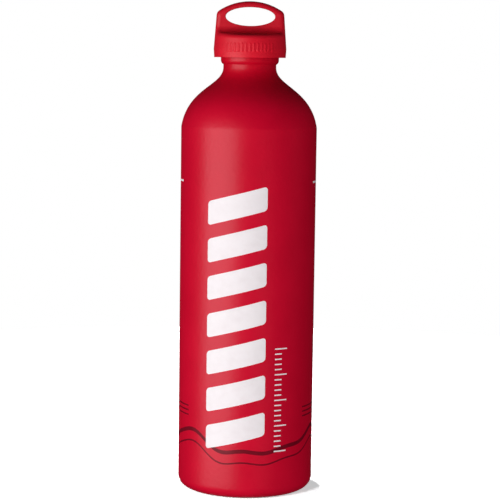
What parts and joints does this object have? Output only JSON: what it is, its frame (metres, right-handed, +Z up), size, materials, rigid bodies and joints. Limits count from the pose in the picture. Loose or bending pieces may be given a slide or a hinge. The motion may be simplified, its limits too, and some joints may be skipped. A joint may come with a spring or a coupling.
{
  "type": "camping fuel bottle",
  "caption": "Tall round aluminium fuel bottle with a domed shoulder, threaded neck and push-and-turn plastic screw cap with a flat carrying loop.",
  "frame": {"origin": "centre of the base, on the surface that the bottle stands on", "axes": "+Z up along the bottle's axis; the flat of the carrying loop faces -Y and +Y, and its hole runs along Y"},
  "size_m": [0.089, 0.089, 0.3211],
  "materials": {
    "bottle_coat": "satin",
    "bare_aluminium": "satin",
    "seal_rubber": "matte",
    "plug_plastic": "satin",
    "spring_steel": "satin",
    "cap_plastic": "satin"
  },
  "bodies": {
    "bottle": {"bottle_body": "bottle_coat", "neck_thread_bush": "bare_aluminium"},
    "seal": {"cap_seal": "seal_rubber"},
    "plug": {"cap_plug": "plug_plastic"},
    "spring": {"cap_spring": "spring_steel"},
    "shell": {"cap_shell": "cap_plastic", "retaining_ring": "spring_steel", "spring_washer": "spring_steel"}
  },
  "joints": [
    {"name": "cap_rise", "type": "slide", "parent": "bottle", "child": "seal", "axis": [0, 0, 1], "range_m": [0, 0.01155]},
    {"name": "cap_turn", "type": "hinge", "parent": "seal", "child": "plug", "pos_m": [0, 0, 0.2883], "axis": [0, 0, 1], "range_deg": [0, 1380]},
    {"name": "cap_freewheel", "type": "hinge", "parent": "plug", "child": "spring", "pos_m": [0, 0, 0.2931], "axis": [0, 0, 1], "continuous": true},
    {"name": "cap_press", "type": "slide", "parent": "spring", "child": "shell", "axis": [0, 0, 1], "range_m": [-0.002, 0], "stiffness_N_per_m": 1400, "springref_m": 0.0045, "deforming": ["cap_spring"]}
  ],
  "couplings": [
    {"joint": "cap_rise", "follows": "cap_turn", "m_per_rad": 0.00047746}
  ]
}
